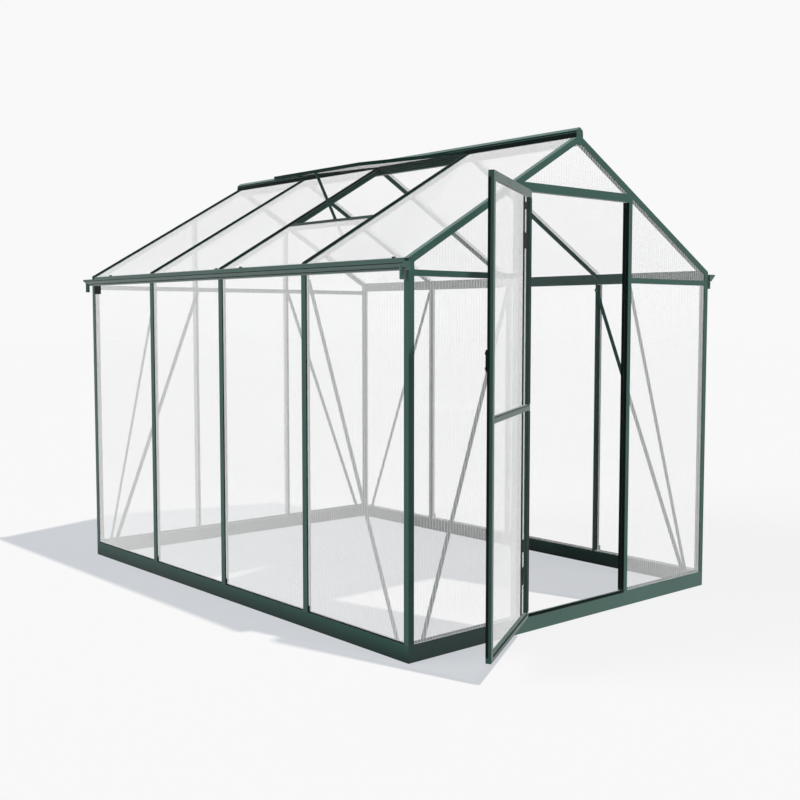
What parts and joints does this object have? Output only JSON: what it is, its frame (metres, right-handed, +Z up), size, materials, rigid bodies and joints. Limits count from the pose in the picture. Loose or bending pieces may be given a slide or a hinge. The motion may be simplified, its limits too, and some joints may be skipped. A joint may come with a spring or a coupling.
{
  "type": "polycarbonate greenhouse",
  "caption": "Small walk-in greenhouse: green metal frame, twin-wall sheets, pitched roof with a propped vent, side gutters and a hinged door in the front gable.",
  "frame": {"origin": "on the ground, under the middle of the doorway, at the middle of the front base rail's underside", "axes": "+Z up, +Y from the front gable with the door to the rear gable, +X to the right seen from in front of the door"},
  "size_m": [1.9, 2.8745, 1.9991],
  "materials": {
    "green_metal": "dark green powder coat, satin",
    "twin_wall_sheet": "clear twin-wall polycarbonate with fine vertical flutes",
    "dark_latch": "satin dark moulding"
  },
  "bodies": {
    "house": {"base_left": "green_metal", "base_right": "green_metal", "base_front": "green_metal", "base_rear": "green_metal", "corner_front_left": "green_metal", "corner_front_right": "green_metal", "corner_rear_left": "green_metal", "corner_rear_right": "green_metal", "posts_left": "green_metal", "posts_right": "green_metal", "rear_studs": "green_metal", "jamb_left": "green_metal", "jamb_right": "green_metal", "gutter_left": "green_metal", "gutter_right": "green_metal", "rails_front": "green_metal", "rails_rear": "green_metal", "door_head": "green_metal", "rafter_front_left": "green_metal", "rafter_front_right": "green_metal", "rafter_rear_left": "green_metal", "rafter_rear_right": "green_metal", "roof_bars_left": "green_metal", "roof_bars_right": "green_metal", "ridge_beam": "green_metal", "sheets_left": "twin_wall_sheet", "sheets_right": "twin_wall_sheet", "sheets_rear": "twin_wall_sheet", "sheets_front": "twin_wall_sheet", "roof_sheets_left": "twin_wall_sheet", "roof_sheets_right": "twin_wall_sheet", "braces_left": "green_metal", "braces_right": "green_metal", "braces_front": "green_metal", "braces_rear": "green_metal", "vent_sill": "green_metal", "vent_frame": "green_metal", "vent_sheet": "twin_wall_sheet", "vent_stay": "green_metal"},
    "door": {"door_frame": "green_metal", "door_sheets": "twin_wall_sheet", "door_latch": "dark_latch"}
  },
  "joints": [
    {"name": "door_hinge", "type": "hinge", "parent": "house", "child": "door", "pos_m": [-0.334, -0.026, 0], "axis": [0, 0, 1], "range_deg": [-20, 149]}
  ]
}
